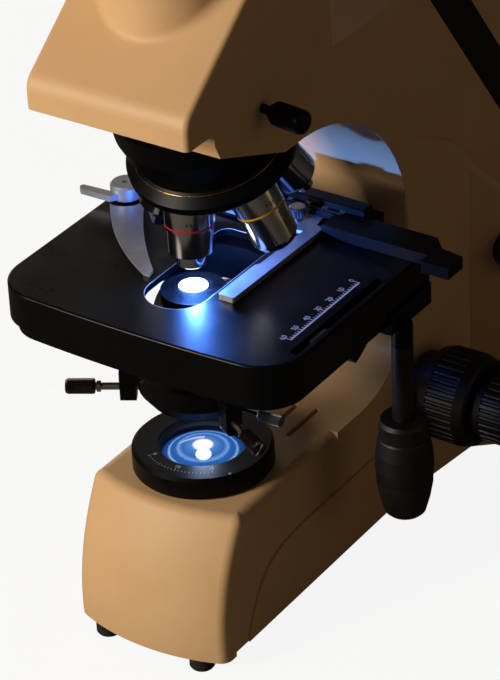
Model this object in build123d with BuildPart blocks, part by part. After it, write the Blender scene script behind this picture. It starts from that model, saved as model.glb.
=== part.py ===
"""Trinocular laboratory microscope with a reversed five-place nosepiece.

Millimetres, +Z up. The origin is on the bench under the middle of the whole object.
The user sits at -Y and looks towards +Y, where the arm stands.
"""
import os
from math import cos, hypot, radians, sin, sqrt, tan

from build123d import *

os.makedirs("parts", exist_ok=True)

# Fits between pieces
RUN = 0.06       # radial running clearance of a shaft in its bore
GAP = 0.3        # clearance between pieces that pass each other

# Optical layout, heights above the bench
AXIS_Y = -53.9           # the optical axis stands this far in front of the object's middle
STAGE_TOP = 187.4        # stage surface at the rest position
APEX_Z = 308.6           # the objectives' axes meet here, on the optical axis
TURRET_TILT = 19.2       # the nosepiece turns about an axis tilted this far back from vertical
PARFOCAL_SEAT = 75.0     # from the apex to the objectives' seats
OBJECTIVE_COUNT = 5

# Base casting
FOOT_H = 7.0
BASE_TOP = 83.0
BASE_HALF = 44.0
BASE_FRONT = -60.0       # middle of the bowed front edge, from the optical axis
BASE_BOW = 9.0           # how far the front corners stand behind the middle
BASE_LEAN = 19.0         # how far the front face leans back at its top
REAR_Y = 240.0           # back of the base, from the optical axis
REAR_HALF = 72.0
FLARE = [(50.0, 177.0), (62.0, 187.0), (REAR_HALF, 200.0)]   # the sides widen through these points
WALL = 4.5
PAD_TOP = 100.0          # the arm stands on the base casting here
FOOT_BLEND_R = 50.0      # concave sweep from the base top into the column

# Arm casting
ARM_TOP = 295.5
ARM_HALF = 44.0
COLUMN_FRONT = 127.0
THROAT_R = 95.5
ARM_NOSE = -37.7
BACK_TOP_Y = 196.0       # where the arm's back starts to fall away
BAND_W = 22.0            # black trim band across the arm
BAND_D = 2.0
BAND_Y = 140.6           # lower edge of the band where it meets the arm's top
BAND_ANGLE = 53.1        # the band falls to the rear at this angle

# Head
HEAD_GAP = 0.3
HEAD_HALF = 45.0
HEAD_FRONT = -60.0
HEAD_REAR = 59.5
HEAD_LIP = 310.0         # top of the upright front lip
HEAD_SLOPE = 38.0        # the sloping front rises at this angle from level
HEAD_TOP = 372.0
LIP_ROUND = 11.0         # soft edge between the upright lip and the slope
CORNER_ROUND = 3.0
TOWER_R = 34.0
TOWER_TOP = 396.0
TOWER_BLEND_R = 6.0      # concave blend where the tower rises out of the slope
SPIGOT_R = 24.0
SPIGOT_L = 17.5
HINGE_Z = 366.0          # the interpupillary hinge crosses the optical axis here
VIEW_ANGLE = 30.0        # eyepiece tubes rise at this angle from level
HINGE_FACE = 50.0        # along the hinge, from the optical axis to the prism housings
PRISM_DEPTH = 33.7
PUPIL_ARM = 38.5         # from the hinge to each eyepiece tube
PUPIL_DISTANCE = 64.0
EYE_BORE_R = 15.05       # for eyepieces 30 mm in diameter
EYE_TUBE_R = 16.8
EYE_TUBE_L = 34.0
PHOTO_BORE_R = 11.7
PHOTO_TUBE_R = 20.5
PHOTO_TOP = 446.0

# Nosepiece
TURRET_RIM = 57.3        # from the apex to the bright rim of the revolving ring
TURRET_R = 41.5
TURRET_LOW = 66.0
COLLAR_R = 41.5          # wide black collar fixed under the arm
BELL_R = 34.0
BELL_SEAT = 38.0         # from the apex to the pocket's roof in the arm

# Stage
STAGE_HALF = 84.0
STAGE_FRONT = -55.0
STAGE_REAR = 80.0
STAGE_PLATE_T = 4.0
SKIRT_DEPTH = 19.0
SKIRT_STEP = 7.0
SKIRT_WALL = 6.0
SLOT_HALF = 16.5         # opening for the condenser's light
SLOT_FRONT = -29.0
SLOT_REAR = 51.0
SCALE_SLOT_X = 79.0      # sunken slot beside the Y scale
LOWER_PLATE_HALF = 70.0
LOWER_PLATE_BOTTOM = 164.0
LOWER_PLATE_HOLE_R = 43.5
CARRIER_BOTTOM = 128.0
CARRIER_TOP = 176.0
RAIL_HALF = 18.0
HOLDER_T = 1.6           # the sprung finger's blade

# Drive shaft under the stage
DRIVE_X = 85.0
DRIVE_Y = 52.0
DRIVE_SHAFT_R = 5.45
DRIVE_CORE_R = 3.2       # the X knob's shaft inside the Y knob's tube
DRIVE_KNOB_R = 14.4
DRIVE_BOTTOM = 52.0
DRIVE_SEAM = 73.5
DRIVE_TUBE_TOP = 149.7   # the bracket's boss carries on above the tube

# Focus knobs
FOCUS_Y = 133.0
FOCUS_Z = 70.0
COARSE_R = 25.0
COARSE_X = 56.0
COARSE_L = 28.0
SLEEVE_R = 8.0
FINE_R = 18.5
FINE_END = 114.8
FINE_SHAFT_R = 3.0

# Condenser
LENS_TIP = 185.0
CONDENSER_DISC_R = 16.2
CONDENSER_FLANGE_R = 24.0
CONDENSER_BARREL_R = 18.0
CONDENSER_LOW = 119.5
CONDENSER_SEAT = 125.4   # the condenser's flange rests here on the carrier's lip
FORK_R = 30.0
FORK_LOW = 130.0
FORK_T = 11.0
SCREW_Z = 127.3
CENTRING_ANGLE = 30.0    # centring screws point this far forward of sideways

# Field lens
FIELD_R = 35.5
FIELD_TOP = 95.1
FIELD_LENS_R = 20.8
FIELD_MOUNT_R = 28.0
DOME_LENS_R = 45.0       # the field lens's convex face

# Reference planes: plan, side view from +X, front view from -Y, all through the optical axis
PLAN = Plane(origin=(0, AXIS_Y, 0), x_dir=(1, 0, 0), z_dir=(0, 0, 1))
SIDE = Plane(origin=(0, AXIS_Y, 0), x_dir=(0, 1, 0), z_dir=(1, 0, 0))
FRONT = Plane(origin=(0, AXIS_Y, 0), x_dir=(1, 0, 0), z_dir=(0, -1, 0))
TURRET = Plane(
    origin=(0, AXIS_Y, APEX_Z),
    x_dir=(1, 0, 0),
    z_dir=(0, sin(radians(TURRET_TILT)), -cos(radians(TURRET_TILT))),
)
HINGE = Plane(
    origin=(0, AXIS_Y, HINGE_Z),
    x_dir=(1, 0, 0),
    z_dir=(0, -cos(radians(VIEW_ANGLE)), sin(radians(VIEW_ANGLE))),
)
DIAL = Plane(origin=(67.0, AXIS_Y + 193.5, 128.0), x_dir=(0, 0, 1), z_dir=(0.793, -0.610, 0))


def shaft_plane(x, y, z):
    """Plane across a shaft that runs along +X from the point x, y, z."""
    return Plane(origin=(x, AXIS_Y + y, z), x_dir=(0, 1, 0), z_dir=(1, 0, 0))


def post_plane(x, y, z=0.0):
    """Plane across an upright post."""
    return Plane(origin=(x, AXIS_Y + y, z), x_dir=(1, 0, 0), z_dir=(0, 0, 1))


def turn(plane, *profile, mode=Mode.ADD):
    """Turned form in the open part: (radius, height) points about the plane's normal."""
    with BuildSketch(Plane(plane.origin, x_dir=plane.x_dir, z_dir=-plane.y_dir)) as section:
        with BuildLine():
            Polyline(*profile, close=True)
        make_face()
    revolve(section.sketch, axis=Axis(plane.origin, plane.z_dir), mode=mode)


def flutes(plane, radius, low, high, count, cutter):
    """Finger flutes cut along a knob between two heights."""
    with BuildSketch(plane.offset(low)) as teeth:
        with PolarLocations(radius, count):
            Circle(cutter)
    extrude(teeth.sketch, amount=high - low, mode=Mode.SUBTRACT)


def save(part, label):
    """Names the piece and writes its file."""
    part.label = label
    export_step(part, f"parts/{label}.step")


# Base casting: hollow, leaning bowed front, flat top, wide rear with the column's pad

def base_section(half, corner_y, middle_y, rear_y, corner_r, height):
    """Level section of the front of the base, bowed forward in the middle."""
    with BuildSketch(PLAN.offset(height)) as section:
        with BuildLine():
            front = ThreePointArc((-half, corner_y), (0, middle_y), (half, corner_y))
            Polyline((half, corner_y), (half, rear_y), (-half, rear_y), (-half, corner_y))
        make_face()
        fillet(section.vertices().group_by(Axis.Y)[0], radius=corner_r)
    return section.sketch


JOIN_Y = 70.0            # the bowed front runs back to here under the flat top
FRONT_SHAPE = [          # height, half width, front lean
    (FOOT_H, BASE_HALF + 0.6, 0.0),
    (FOOT_H + 42.0, BASE_HALF, 3.7),
    (BASE_TOP, BASE_HALF, BASE_LEAN),
]


def rear_outline(inset=0.0):
    """Plan of the widening rear, the same for the base and for the lower column."""
    near = BASE_HALF - inset
    right = [(near, COLUMN_FRONT)] + [(x - inset, y) for x, y in FLARE] + [(REAR_HALF - inset, REAR_Y - inset)]
    left = [(-x, y) for x, y in reversed(right)]
    return [(near, JOIN_Y - 15)] + right + left + [(-near, JOIN_Y - 15)]


BLEND_MID = FOOT_BLEND_R * sin(radians(45))
PAD_Y = COLUMN_FRONT - FOOT_BLEND_R + sqrt(FOOT_BLEND_R**2 - (BASE_TOP + FOOT_BLEND_R - PAD_TOP) ** 2)
BLEND_Y = COLUMN_FRONT - FOOT_BLEND_R
BLEND_Z = BASE_TOP + FOOT_BLEND_R
PAD_ANGLE = 20.0         # half of the turn that the sweep makes below the pad


def blend_point(angle):
    """Point on the concave sweep, counted in degrees up from straight below its centre."""
    return (BLEND_Y + FOOT_BLEND_R * sin(radians(angle)), BLEND_Z - FOOT_BLEND_R * cos(radians(angle)))


with BuildPart() as base_rear:
    with BuildSketch(PLAN.offset(FOOT_H)):
        with BuildLine():
            Polyline(*rear_outline(), close=True)
        make_face()
    extrude(amount=PAD_TOP - FOOT_H)
    fillet(base_rear.edges().filter_by(Axis.Z).group_by(Axis.Y)[-1], radius=16)
    with BuildSketch(SIDE):
        with BuildLine():
            ThreePointArc((BLEND_Y, BASE_TOP), blend_point(PAD_ANGLE), (PAD_Y, PAD_TOP))
            Polyline((PAD_Y, PAD_TOP), (REAR_Y, PAD_TOP), (REAR_Y, 0), (0, 0), (0, BASE_TOP), (BLEND_Y, BASE_TOP))
        make_face()
    extrude(amount=REAR_HALF, both=True, mode=Mode.INTERSECT)

PANEL_T = 1.4            # proud panel along each side of the base
PANEL_LOW = FOOT_H + 2.4
with BuildPart() as base_housing:
    loft([
        base_section(half, BASE_FRONT + BASE_BOW + lean, BASE_FRONT + lean, JOIN_Y, 6.5, height)
        for height, half, lean in FRONT_SHAPE
    ])
    fillet(base_housing.edges().filter_by_position(Axis.Z, BASE_TOP, BASE_TOP).filter_by_position(
        Axis.Y, AXIS_Y - 100, AXIS_Y + JOIN_Y - 1), radius=6)
    add(base_rear.part)
    with BuildSketch(SIDE):
        with BuildLine():
            Spline((-32.5, PANEL_LOW), (-25, 28), (-13, 42), (8, 49), (32, 49.8))
            Polyline((32, 49.8), (FOCUS_Y + 8, 49.8), (FOCUS_Y + 8, PANEL_LOW), (-32.5, PANEL_LOW))
        make_face()
    extrude(amount=BASE_HALF + PANEL_T, both=True)
    for side in (-1, 1):
        with BuildSketch(PLAN.offset(FOOT_H)):
            with Locations((side * (BASE_HALF + 1), (FOCUS_Y - 35) / 2)):
                Rectangle(8, FOCUS_Y + 51)
        extrude(amount=PANEL_LOW - FOOT_H, mode=Mode.SUBTRACT)
    # the cavity follows the outside, one wall thickness in
    loft([
        base_section(half - WALL, BASE_FRONT + BASE_BOW + lean + WALL + 1, BASE_FRONT + lean + WALL + 1,
                     JOIN_Y, 3, min(height, BASE_TOP - WALL))
        for height, half, lean in FRONT_SHAPE
    ], mode=Mode.SUBTRACT)
    with BuildSketch(PLAN.offset(FOOT_H)):
        with BuildLine():
            Polyline(*rear_outline(WALL), close=True)
        make_face()
    extrude(amount=BASE_TOP - WALL - FOOT_H, mode=Mode.SUBTRACT)
    # lamp tube down from the field lens
    LAMP_TUBE_R = FIELD_LENS_R + 1.5
    turn(PLAN, (0, 62), (LAMP_TUBE_R + 3, 62), (LAMP_TUBE_R + 3, BASE_TOP), (0, BASE_TOP))
    turn(PLAN, (0, 60), (LAMP_TUBE_R, 60), (LAMP_TUBE_R, BASE_TOP + 1), (0, BASE_TOP + 1),
         mode=Mode.SUBTRACT)
    # cooling slots behind the field lens, two each side
    for slot_x, slot_y, slot_l in ((12, 56.5, 21), (23.5, 54.5, 29)):
        for side in (-1, 1):
            with BuildSketch(PLAN.offset(BASE_TOP - WALL - 1)):
                with Locations((side * slot_x, slot_y)):
                    SlotOverall(slot_l, 3.0, rotation=90)
            extrude(amount=WALL + 2, mode=Mode.SUBTRACT)
    # cross bore for the focus shaft and its bosses
    with BuildSketch(shaft_plane(0, FOCUS_Y, FOCUS_Z)):
        Circle(SLEEVE_R + 6)
    extrude(amount=BASE_HALF, both=True)
    with BuildSketch(shaft_plane(0, FOCUS_Y, FOCUS_Z)):
        Circle(SLEEVE_R + RUN)
    extrude(amount=BASE_HALF + 10, both=True, mode=Mode.SUBTRACT)
    # mains inlet and switch openings in the back, dial bore in the right side
    INLET_W, INLET_H, INLET_X, INLET_Z = 27.4, 20.0, -24.0, 34.0
    SWITCH_W, SWITCH_H, SWITCH_X = 13.4, 19.4, 24.0
    with BuildSketch(FRONT.offset(-REAR_Y - 1)):
        with Locations((INLET_X, INLET_Z)):
            Rectangle(INLET_W + 0.4, INLET_H + 0.4)
        with Locations((SWITCH_X, INLET_Z)):
            Rectangle(SWITCH_W, SWITCH_H)
    extrude(amount=WALL + 2, mode=Mode.SUBTRACT)
save(base_housing.part, "base_housing")

# Steel base plate, let into the casting, with feet and screws
PLATE_T = 1.5
with BuildPart() as base_plate:
    with BuildSketch(PLAN.offset(FOOT_H)):
        with BuildLine():
            Polyline(*rear_outline(WALL + GAP), close=True)
        make_face()
    with BuildSketch(PLAN.offset(FOOT_H)):
        with BuildLine():
            inner = BASE_HALF - WALL - 1
            ThreePointArc((-inner, BASE_FRONT + BASE_BOW + 8), (0, BASE_FRONT + 8), (inner, BASE_FRONT + BASE_BOW + 8))
            Polyline((inner, BASE_FRONT + BASE_BOW + 8), (inner, JOIN_Y), (-inner, JOIN_Y),
                     (-inner, BASE_FRONT + BASE_BOW + 8))
        make_face()
    extrude(amount=PLATE_T)
    # screw heads under the plate
    for screw_x, screw_y in ((-30.0, 0.0), (30.0, 0.0), (-34.0, 120.0), (34.0, 120.0), (0.0, REAR_Y - 20.0)):
        turn(post_plane(screw_x, screw_y), (0, FOOT_H - 2.2), (2.6, FOOT_H - 2.2), (3.4, FOOT_H - 1.2),
             (3.4, FOOT_H + 0.5), (0, FOOT_H + 0.5))
save(base_plate.part, "base_plate")

FOOT_R = 6.5
FEET = [(-28.4, -50.0), (28.4, -50.0), (-46.0, REAR_Y - 26.0), (46.0, REAR_Y - 26.0)]
with BuildPart() as rubber_feet:
    for foot_x, foot_y in FEET:
        turn(post_plane(foot_x, foot_y), (0, 0), (FOOT_R - 0.8, 0), (FOOT_R, 1.2), (FOOT_R, FOOT_H), (0, FOOT_H))
save(rubber_feet.part, "rubber_feet")

# Arm casting: C-shaped side view, wider lower column with a sweeping upper edge

THROAT_Y = COLUMN_FRONT - THROAT_R
THROAT_Z = 164.3
LEDGE_ROUND = 4.0        # rounded upper edge of the lower column
THROAT_MID = (THROAT_Y + THROAT_R * cos(radians(45)), THROAT_Z + THROAT_R * sin(radians(45)))


def arm_blank():
    """Whole arm before the trim band is let in: upper arm and lower column."""
    with BuildPart() as upper:
        with BuildSketch(SIDE):
            with BuildLine():
                Polyline((ARM_NOSE, 288.6), (ARM_NOSE, ARM_TOP), (BACK_TOP_Y, ARM_TOP))
                ThreePointArc((BACK_TOP_Y, ARM_TOP), (221.0, 284.0), (REAR_Y - 6, 258.0))
                Polyline((REAR_Y - 6, 258.0), (REAR_Y, 200.0), (REAR_Y, PAD_TOP), (PAD_Y, PAD_TOP))
                ThreePointArc((PAD_Y, PAD_TOP), blend_point(68), (COLUMN_FRONT, BLEND_Z))
                Line((COLUMN_FRONT, BLEND_Z), (COLUMN_FRONT, THROAT_Z))
                ThreePointArc((COLUMN_FRONT, THROAT_Z), THROAT_MID, (THROAT_Y, THROAT_Z + THROAT_R))
                Polyline((THROAT_Y, THROAT_Z + THROAT_R), (18.6, THROAT_Z + THROAT_R), (-33.9, 280.7),
                         (ARM_NOSE, 288.6))
            make_face()
        extrude(amount=ARM_HALF, both=True)
        fillet(upper.edges().filter_by(Axis.Z).group_by(Axis.Y)[-1], radius=10)
    with BuildPart() as column:
        with BuildSketch(PLAN.offset(PAD_TOP)):
            with BuildLine():
                Polyline(*rear_outline()[1:-1], close=True)
            make_face()
        extrude(amount=140)
        fillet(column.edges().filter_by(Axis.Z).group_by(Axis.Y)[-1], radius=16)
        with BuildSketch(SIDE):
            with BuildLine():
                Spline((104.0, 230.0), (143.0, 210.5), (177.0, 188.0), (187.0, 173.0), (200.0, 156.0),
                       (REAR_Y + 1, 120.0))
                Polyline((REAR_Y + 1, 120.0), (REAR_Y + 1, PAD_TOP), (104.0, PAD_TOP), (104.0, 230.0))
            make_face()
        extrude(amount=REAR_HALF + 1, both=True, mode=Mode.INTERSECT)
        ledge = column.faces().filter_by(lambda f: f.geom_type not in (GeomType.PLANE, GeomType.CYLINDER))
        fillet(ledge.sort_by(SortBy.AREA)[-1].edges(), radius=LEDGE_ROUND)
        # the throat's cylinder also trims the column
        with BuildSketch(SIDE):
            with Locations((THROAT_Y, THROAT_Z)):
                Circle(THROAT_R)
        extrude(amount=REAR_HALF + 1, both=True, mode=Mode.SUBTRACT)
        add(upper.part)
    return column.part


def band_region(margin):
    """The band's stripe through the arm, as a slab that is wider than the arm."""
    slope = radians(BAND_ANGLE)
    along = (cos(slope), -sin(slope))
    across = (sin(slope), cos(slope))
    start = (BAND_Y - 40 * along[0], ARM_TOP - 40 * along[1])
    corners = []
    for run, rise in ((0, -margin), (260, -margin), (260, BAND_W + margin), (0, BAND_W + margin)):
        corners.append((start[0] + run * along[0] + rise * across[0], start[1] + run * along[1] + rise * across[1]))
    with BuildPart() as slab:
        with BuildSketch(SIDE):
            with BuildLine():
                Polyline(*corners, close=True)
            make_face()
        extrude(amount=REAR_HALF + 5, both=True)
    return slab.part


with BuildPart() as band_core:
    with BuildSketch(SIDE):
        with BuildLine():
            Polyline((0, 120), (0, ARM_TOP - BAND_D), (BACK_TOP_Y - 6, ARM_TOP - BAND_D), (REAR_Y - 18, 250),
                     (REAR_Y - 12, 150), (REAR_Y - 12, 120), close=True)
        make_face()
    extrude(amount=ARM_HALF - BAND_D, both=True)

blank = arm_blank()
with BuildPart() as band_stock:
    add(blank)
    add(band_region(0), mode=Mode.INTERSECT)
    add(band_core.part, mode=Mode.SUBTRACT)
    with BuildSketch(PLAN.offset(PAD_TOP)):
        Rectangle(400, 400, align=(Align.CENTER, Align.CENTER))
    extrude(amount=206.0 - PAD_TOP, mode=Mode.SUBTRACT)
save(band_stock.part, "arm_trim_band")

LOCK_R = 2.2             # the head lock screw points down to the right a little
LOCK_DROP = radians(5.0)
LOCK = Plane(
    origin=(ARM_HALF, AXIS_Y + 1.0, 290.7),
    x_dir=(0, 1, 0),
    z_dir=(cos(LOCK_DROP), 0, -sin(LOCK_DROP)),
)
with BuildPart() as arm_casting:
    add(blank)
    add(band_stock.part, mode=Mode.SUBTRACT)
    # round socket for the head's spigot and the light path below it
    turn(PLAN, (0, ARM_TOP - SPIGOT_L - 1), (SPIGOT_R + GAP, ARM_TOP - SPIGOT_L - 1),
         (SPIGOT_R + GAP, ARM_TOP + 1), (0, ARM_TOP + 1), mode=Mode.SUBTRACT)
    turn(PLAN, (0, 240), (11, 240), (11, ARM_TOP), (0, ARM_TOP), mode=Mode.SUBTRACT)
    with BuildSketch(LOCK.offset(SPIGOT_R - ARM_HALF)):
        Circle(LOCK_R + RUN)
    extrude(amount=ARM_HALF - SPIGOT_R + 2, mode=Mode.SUBTRACT)
    # pocket for the nosepiece in the arm's underside
    turn(TURRET, (0, BELL_SEAT), (COLLAR_R + 0.8, BELL_SEAT), (COLLAR_R + 0.8, 50), (TURRET_R + 1.5, 53.5),
         (TURRET_R + 1.5, 90), (0, 90), mode=Mode.SUBTRACT)
    # bore for the dial's shaft
    with BuildSketch(DIAL.offset(-12)):
        Circle(3 + RUN)
    extrude(amount=30, mode=Mode.SUBTRACT)
save(arm_casting.part, "arm_casting")

# Fixed nosepiece bell under the arm, on the tilted turret axis

with BuildPart() as nosepiece_mount:
    turn(TURRET, (0, 22), (COLLAR_R, 22), (COLLAR_R, 36), (COLLAR_R - 3, 48.5), (BELL_R, 50), (BELL_R, 56), (0, 56))
    with BuildSketch(SIDE):
        with BuildLine():
            Polyline((-60, 291.1), (-1.55, 267.8), (60, 289.2), (60, 330), (-60, 330), close=True)
        make_face()
    extrude(amount=COLLAR_R + 8, both=True, mode=Mode.SUBTRACT)
    turn(PLAN, (0, 220), (9, 220), (9, 300), (0, 300), mode=Mode.SUBTRACT)
save(nosepiece_mount.part, "nosepiece_mount")

# Field lens mount, lens and LED lamp in the base

with BuildPart() as field_lens_mount:
    turn(PLAN, (FIELD_LENS_R - 2, BASE_TOP - 6), (LAMP_TUBE_R - RUN, BASE_TOP - 6), (LAMP_TUBE_R - RUN, BASE_TOP),
         (FIELD_MOUNT_R, BASE_TOP), (FIELD_MOUNT_R, FIELD_TOP - 2.8), (FIELD_LENS_R + 2, FIELD_TOP - 2.8),
         (FIELD_LENS_R + 0.3, FIELD_TOP - 4.6), (FIELD_LENS_R + 0.3, BASE_TOP + 1),
         (FIELD_LENS_R - 2, BASE_TOP + 1))
save(field_lens_mount.part, "field_lens_mount")

with BuildPart() as field_lens:
    with BuildSketch(FRONT):
        with BuildLine():
            lens_top = FIELD_TOP - 2
            mid = FIELD_LENS_R / 2
            lens_mid = lens_top - DOME_LENS_R + sqrt(DOME_LENS_R**2 - mid**2)
            lens_rim = lens_top - DOME_LENS_R + sqrt(DOME_LENS_R**2 - FIELD_LENS_R**2)
            Polyline((0, lens_top), (0, BASE_TOP + 1), (FIELD_LENS_R, BASE_TOP + 1), (FIELD_LENS_R, lens_rim))
            ThreePointArc((FIELD_LENS_R, lens_rim), (mid, lens_mid), (0, lens_top))
        make_face()
    revolve(axis=Axis((0, AXIS_Y, 0), (0, 0, 1)))
save(field_lens.part, "field_lens")

with BuildPart() as led_lamp:
    turn(PLAN, (0, 62), (LAMP_TUBE_R - RUN, 62), (LAMP_TUBE_R - RUN, 66), (18, 66), (18, 69), (5, 69), (5, 70.5),
         (3.5, 72), (0, 72.6))
save(led_lamp.part, "led_lamp")

# Field iris ring, turned by hand around the fixed lens mount
with BuildPart() as field_iris_ring:
    turn(PLAN, (FIELD_MOUNT_R + GAP, BASE_TOP + GAP), (FIELD_R - 0.8, BASE_TOP + GAP), (FIELD_R, BASE_TOP + 1.2),
         (FIELD_R, FIELD_TOP - 1.6), (FIELD_R - 1.6, FIELD_TOP), (22.6, FIELD_TOP), (21.6, FIELD_TOP - 0.8),
         (21.6, FIELD_TOP - 2.4), (FIELD_MOUNT_R + GAP, FIELD_TOP - 2.4))
save(field_iris_ring.part, "field_iris_ring")

# Focus guide rail on the column's front face
GUIDE_FRONT = 108.0
with BuildPart() as focus_guide:
    with BuildSketch(SIDE):
        with BuildLine():
            Polyline((GUIDE_FRONT, 108), (GUIDE_FRONT, 174), (COLUMN_FRONT - 1.5, 174), (COLUMN_FRONT, 164),
                     (COLUMN_FRONT, BLEND_Z), (COLUMN_FRONT - 0.8, BLEND_Z - 4), (118.5, 108), close=True)
        make_face()
    extrude(amount=RAIL_HALF, both=True)
    for side in (-1, 1):
        with BuildSketch(PLAN.offset(100)):
            with BuildLine():
                x0 = side * RAIL_HALF
                Polyline((x0, 121), (x0 - side * 5, 121), (x0 - side * 2, 111), (x0, 111), close=True)
            make_face()
        extrude(amount=90, mode=Mode.SUBTRACT)
save(focus_guide.part, "focus_guide")

# Mains inlet and power switch in the back of the base
with BuildPart() as inlet_socket:
    with BuildSketch(FRONT.offset(-REAR_Y)):
        with Locations((INLET_X, INLET_Z)):
            RectangleRounded(INLET_W + 5, INLET_H + 5, 2)
    extrude(amount=-1.5)
    with BuildSketch(FRONT.offset(-REAR_Y + 16)):
        with Locations((INLET_X, INLET_Z)):
            Rectangle(INLET_W, INLET_H)
    extrude(amount=-16)
    with BuildSketch(FRONT.offset(-REAR_Y - 2)):
        with Locations((INLET_X, INLET_Z)):
            RectangleRounded(INLET_W - 3.4, INLET_H - 4, 3)
    extrude(amount=15, mode=Mode.SUBTRACT)
    with BuildSketch(FRONT.offset(-REAR_Y + 13)):
        with Locations((INLET_X - 7, INLET_Z - 1), (INLET_X, INLET_Z + 3), (INLET_X + 7, INLET_Z - 1)):
            Rectangle(2, 4)
    extrude(amount=-10)
save(inlet_socket.part, "inlet_socket")

ROCKER_Y = REAR_Y - 3.0
with BuildPart() as power_switch:
    with BuildSketch(shaft_plane(SWITCH_X, ROCKER_Y, INLET_Z)) as rocker:
        with BuildLine():
            Polyline((3.8, -8.8), (2.3, 0), (3.8, 8.8), (-1, 8.4), (-5, 3), (-5, -3), (-1, -8.4), close=True)
        make_face()
    extrude(amount=SWITCH_W / 2 - GAP, both=True)
    with BuildSketch(shaft_plane(SWITCH_X, ROCKER_Y, INLET_Z)):
        Circle(1.2)
    extrude(amount=SWITCH_W / 2, both=True, mode=Mode.SUBTRACT)
power_rocker = power_switch.part.rotate(Axis((0, AXIS_Y + ROCKER_Y, INLET_Z), (1, 0, 0)), 8)
save(power_rocker, "power_switch")

# Brightness dial on the widening right side of the column
with BuildPart() as brightness_dial:
    turn(DIAL, (0, -11), (3, -11), (3, GAP), (12, GAP), (12.5, 1), (11.8, 8), (11, 9), (0, 9))
save(brightness_dial.part, "brightness_dial")

# Head: sloping casting with the round tower and the hinge boss

with BuildPart() as head_housing:
    slope_y = HEAD_FRONT + (HEAD_TOP - HEAD_LIP) / tan(radians(HEAD_SLOPE))
    with BuildSketch(SIDE):
        with BuildLine():
            Polyline((HEAD_FRONT, ARM_TOP + HEAD_GAP), (HEAD_FRONT, HEAD_LIP), (slope_y, HEAD_TOP),
                     (HEAD_REAR, HEAD_TOP), (HEAD_REAR, ARM_TOP + HEAD_GAP), close=True)
        make_face()
    extrude(amount=HEAD_HALF, both=True)
    lip_edge = head_housing.edges().filter_by(Axis.X).filter_by_position(Axis.Z, HEAD_LIP - 0.1, HEAD_LIP + 0.1)
    fillet(lip_edge, radius=LIP_ROUND)
    # the upright front corners and the slope's sides are rounded in one run
    fillet(head_housing.edges().filter_by(Axis.Z).group_by(Axis.Y)[0], radius=CORNER_ROUND)
    turn(PLAN, (0, 320), (TOWER_R, 320), (TOWER_R, TOWER_TOP - 2), (TOWER_R - 2, TOWER_TOP), (0, TOWER_TOP))
    tower_foot = head_housing.edges().filter_by(
        lambda e: abs(hypot((e @ 0.5).X, (e @ 0.5).Y - AXIS_Y) - TOWER_R) < 0.01 and HEAD_LIP < (e @ 0.5).Z < HEAD_TOP + 1)
    fillet(tower_foot, radius=TOWER_BLEND_R)
    with BuildSketch(HINGE.offset(4)):
        Circle(22)
    extrude(amount=HINGE_FACE - GAP - 4)
    turn(PLAN, (0, 290), (13, 290), (13, 330), (0, 330), mode=Mode.SUBTRACT)
    turn(PLAN, (0, 376), (PHOTO_BORE_R, 376), (PHOTO_BORE_R, 400), (0, 400), mode=Mode.SUBTRACT)
    turn(PLAN, (0, TOWER_TOP), (26 + GAP, TOWER_TOP), (26 + GAP, 450), (0, 450), mode=Mode.SUBTRACT)
    turn(HINGE, (0, HINGE_FACE - 14), (5 + RUN, HINGE_FACE - 14), (5 + RUN, 60), (0, 60), mode=Mode.SUBTRACT)
    with BuildSketch(shaft_plane(-HEAD_HALF - 1, 30, 332)):
        Circle(3 + RUN)
    extrude(amount=27, mode=Mode.SUBTRACT)
save(head_housing.part, "head_housing")

# Spigot under the head, screwed on from inside, with the light's way through it
with BuildPart() as head_spigot:
    turn(PLAN, (13, ARM_TOP - SPIGOT_L), (SPIGOT_R - 1, ARM_TOP - SPIGOT_L), (SPIGOT_R, ARM_TOP - SPIGOT_L + 1),
         (SPIGOT_R, ARM_TOP + HEAD_GAP), (13, ARM_TOP + HEAD_GAP))
save(head_spigot.part, "head_spigot")

with BuildPart() as phototube:
    turn(PLAN, (PHOTO_BORE_R, TOWER_TOP), (26, TOWER_TOP), (26, TOWER_TOP + 3), (PHOTO_TUBE_R, TOWER_TOP + 5),
         (PHOTO_TUBE_R, PHOTO_TOP - 12), (PHOTO_TUBE_R + 1.5, PHOTO_TOP - 11), (PHOTO_TUBE_R + 1.5, PHOTO_TOP - 2),
         (PHOTO_TUBE_R, PHOTO_TOP), (PHOTO_BORE_R + 1, PHOTO_TOP), (PHOTO_BORE_R, PHOTO_TOP - 1))
save(phototube.part, "phototube")

with BuildPart() as hinge_pin:
    front_face = HINGE_FACE + PRISM_DEPTH
    turn(HINGE, (0, HINGE_FACE - 13), (5, HINGE_FACE - 13), (5, front_face + GAP), (14, front_face + GAP),
         (14, front_face + 3), (13, front_face + 4), (0, front_face + 4))
save(hinge_pin.part, "hinge_pin")

# Prism housings swing on the hinge pin like two leaves, each with a hub in its own layer

PUPIL_RISE = sqrt(PUPIL_ARM**2 - (PUPIL_DISTANCE / 2) ** 2)
HUB_R = 14.0
LOBE_R = 21.5
HUB_L = (PRISM_DEPTH - GAP) / 2


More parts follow.
